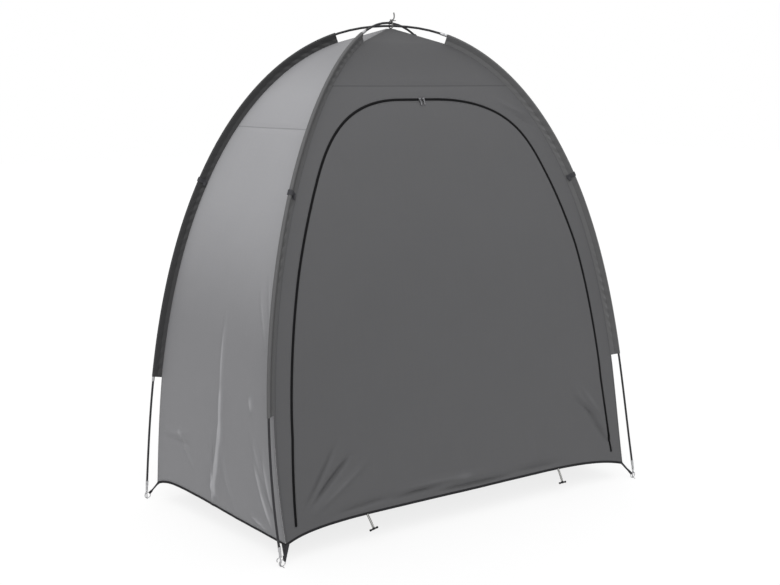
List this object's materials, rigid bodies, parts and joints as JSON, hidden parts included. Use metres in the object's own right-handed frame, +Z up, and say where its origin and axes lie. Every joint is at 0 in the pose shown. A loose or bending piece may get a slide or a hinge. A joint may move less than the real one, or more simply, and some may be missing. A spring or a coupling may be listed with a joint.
{
  "type": "bike storage tent",
  "caption": "Free-standing fabric shelter on two crossed arched poles, with sleeved corners, a zipped door in the front wall and no floor.",
  "frame": {"origin": "on the ground under the middle of the tent's outline, 13 mm from the point under the pole crossing", "axes": "+Z up, -Y out of the front wall with the door, +X to the right along the front wall as seen from outside"},
  "size_m": [1.5896, 0.8692, 1.6948],
  "materials": {
    "charcoal_fabric": "matt woven polyester, dark grey",
    "light_grey_fabric": "matt woven polyester, light grey",
    "sleeve_fabric": "matt woven polyester, sewn double",
    "webbing": "black woven tape",
    "pole": "dark resin-bound fibreglass",
    "metal": "zinc plated",
    "zip": "black coil zip on tape",
    "grey_cord": "grey braided cord",
    "black_plastic": "black moulded plastic"
  },
  "bodies": {
    "root": {"pole_front_left_to_back_right": "pole", "pole_back_left_to_front_right": "pole", "front_wall": "charcoal_fabric", "door_panel": "charcoal_fabric", "back_wall": "charcoal_fabric", "left_wall": "light_grey_fabric", "right_wall": "light_grey_fabric", "door_zip": "zip", "zip_slider_left": "metal", "zip_slider_right": "metal", "hem_front": "webbing", "hem_left": "webbing", "hem_right": "webbing", "hem_back": "webbing", "toggle_cord_left": "grey_cord", "toggle_cord_right": "grey_cord", "toggle_bar_left": "black_plastic", "toggle_bar_right": "black_plastic", "apex_tie": "grey_cord", "sleeve_front_left": "sleeve_fabric", "guy_loop_front_left": "webbing", "pole_tip_front_left": "metal", "foot_pin_front_left": "metal", "peg_ring_front_left": "metal", "corner_strap_front_left": "webbing", "ferrule_front_left": "metal", "sleeve_front_right": "sleeve_fabric", "guy_loop_front_right": "webbing", "pole_tip_front_right": "metal", "foot_pin_front_right": "metal", "peg_ring_front_right": "metal", "corner_strap_front_right": "webbing", "ferrule_front_right": "metal", "sleeve_back_left": "sleeve_fabric", "guy_loop_back_left": "webbing", "pole_tip_back_left": "metal", "foot_pin_back_left": "metal", "peg_ring_back_left": "metal", "corner_strap_back_left": "webbing", "ferrule_back_left": "metal", "sleeve_back_right": "sleeve_fabric", "guy_loop_back_right": "webbing", "pole_tip_back_right": "metal", "foot_pin_back_right": "metal", "peg_ring_back_right": "metal", "corner_strap_back_right": "webbing", "ferrule_back_right": "metal"}
  },
  "joints": []
}
